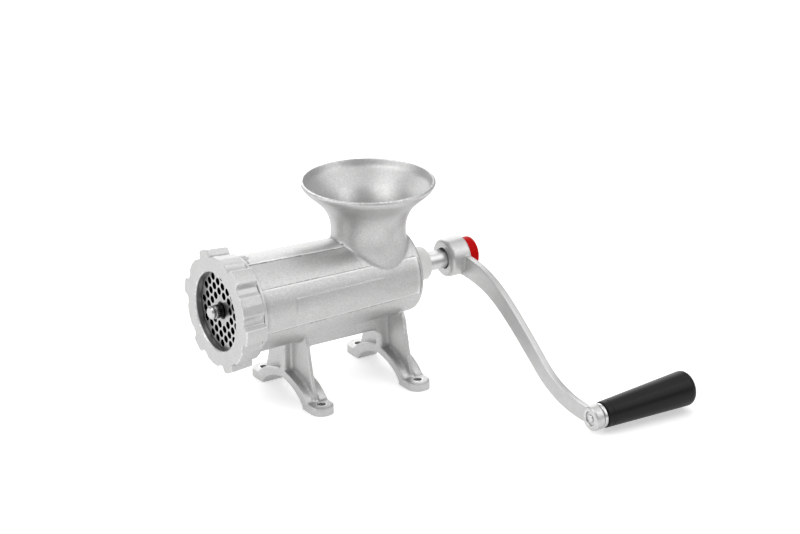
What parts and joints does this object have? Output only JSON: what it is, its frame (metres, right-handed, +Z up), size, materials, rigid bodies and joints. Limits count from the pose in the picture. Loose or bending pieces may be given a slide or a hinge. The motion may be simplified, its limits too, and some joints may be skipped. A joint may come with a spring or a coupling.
{
  "type": "hand crank meat grinder",
  "caption": "Bolt-down cast meat grinder: hopper over a barrel, feed screw, knife and perforated plate behind a lugged ring nut, turned by an S-shaped crank.",
  "frame": {"origin": "centre of the bottom of the object's box, on the bench that the feet stand on", "axes": "+X along the barrel from the perforated plate towards the crank, +Z up out of the hopper, +Y away from the side that the crank points to at rest"},
  "size_m": [0.3606, 0.2902, 0.1858],
  "materials": {
    "tinned_iron": "satin tin plating over fine cast grain",
    "turned_steel": "turned and ground",
    "dark_bush": "plain moulded",
    "pale_bush": "smooth turned",
    "red_plastic": "smooth moulded",
    "black_plastic": "satin moulded"
  },
  "bodies": {
    "frame": {"body_casting": "tinned_iron", "shaft_bush": "pale_bush", "plate_key_pin": "turned_steel"},
    "crank": {"feed_screw": "tinned_iron", "plate_stud": "turned_steel", "cutting_knife": "turned_steel", "drive_shaft": "turned_steel", "drive_pin": "turned_steel", "thrust_washer": "pale_bush", "crank_arm": "tinned_iron", "grip_axle": "turned_steel", "grip_washer": "turned_steel"},
    "grip": {"grip": "black_plastic"},
    "plate": {"hole_plate": "turned_steel", "plate_bush": "dark_bush"},
    "ring": {"ring_nut": "tinned_iron"},
    "washer": {"knob_washer": "turned_steel"},
    "knob": {"clamp_knob": "red_plastic", "knob_screw": "turned_steel"}
  },
  "joints": [
    {"name": "crank_turn", "type": "hinge", "parent": "frame", "child": "crank", "pos_m": [0.00027, 0.08478, 0.095], "axis": [1, 0, 0], "continuous": true},
    {"name": "grip_spin", "type": "hinge", "parent": "crank", "child": "grip", "pos_m": [0.07752, -0.12923, 0.0142], "axis": [0.9988, 0, 0.0489], "continuous": true},
    {"name": "plate_slide", "type": "slide", "parent": "frame", "child": "plate", "axis": [-1, 0, 0], "range_m": [0, 0.0135]},
    {"name": "ring_turn", "type": "hinge", "parent": "plate", "child": "ring", "pos_m": [-0.16368, 0.08478, 0.095], "axis": [-1, 0, 0], "range_deg": [0, 1080]},
    {"name": "washer_slide", "type": "slide", "parent": "crank", "child": "washer", "axis": [1, 0, 0], "range_m": [0, 0.0075]},
    {"name": "knob_turn", "type": "hinge", "parent": "washer", "child": "knob", "pos_m": [0.08732, 0.08478, 0.095], "axis": [1, 0, 0], "range_deg": [0, 2160]}
  ],
  "couplings": [
    {"joint": "plate_slide", "follows": "ring_turn", "m_per_rad": 0.000716},
    {"joint": "washer_slide", "follows": "knob_turn", "m_per_rad": 0.0001989}
  ]
}
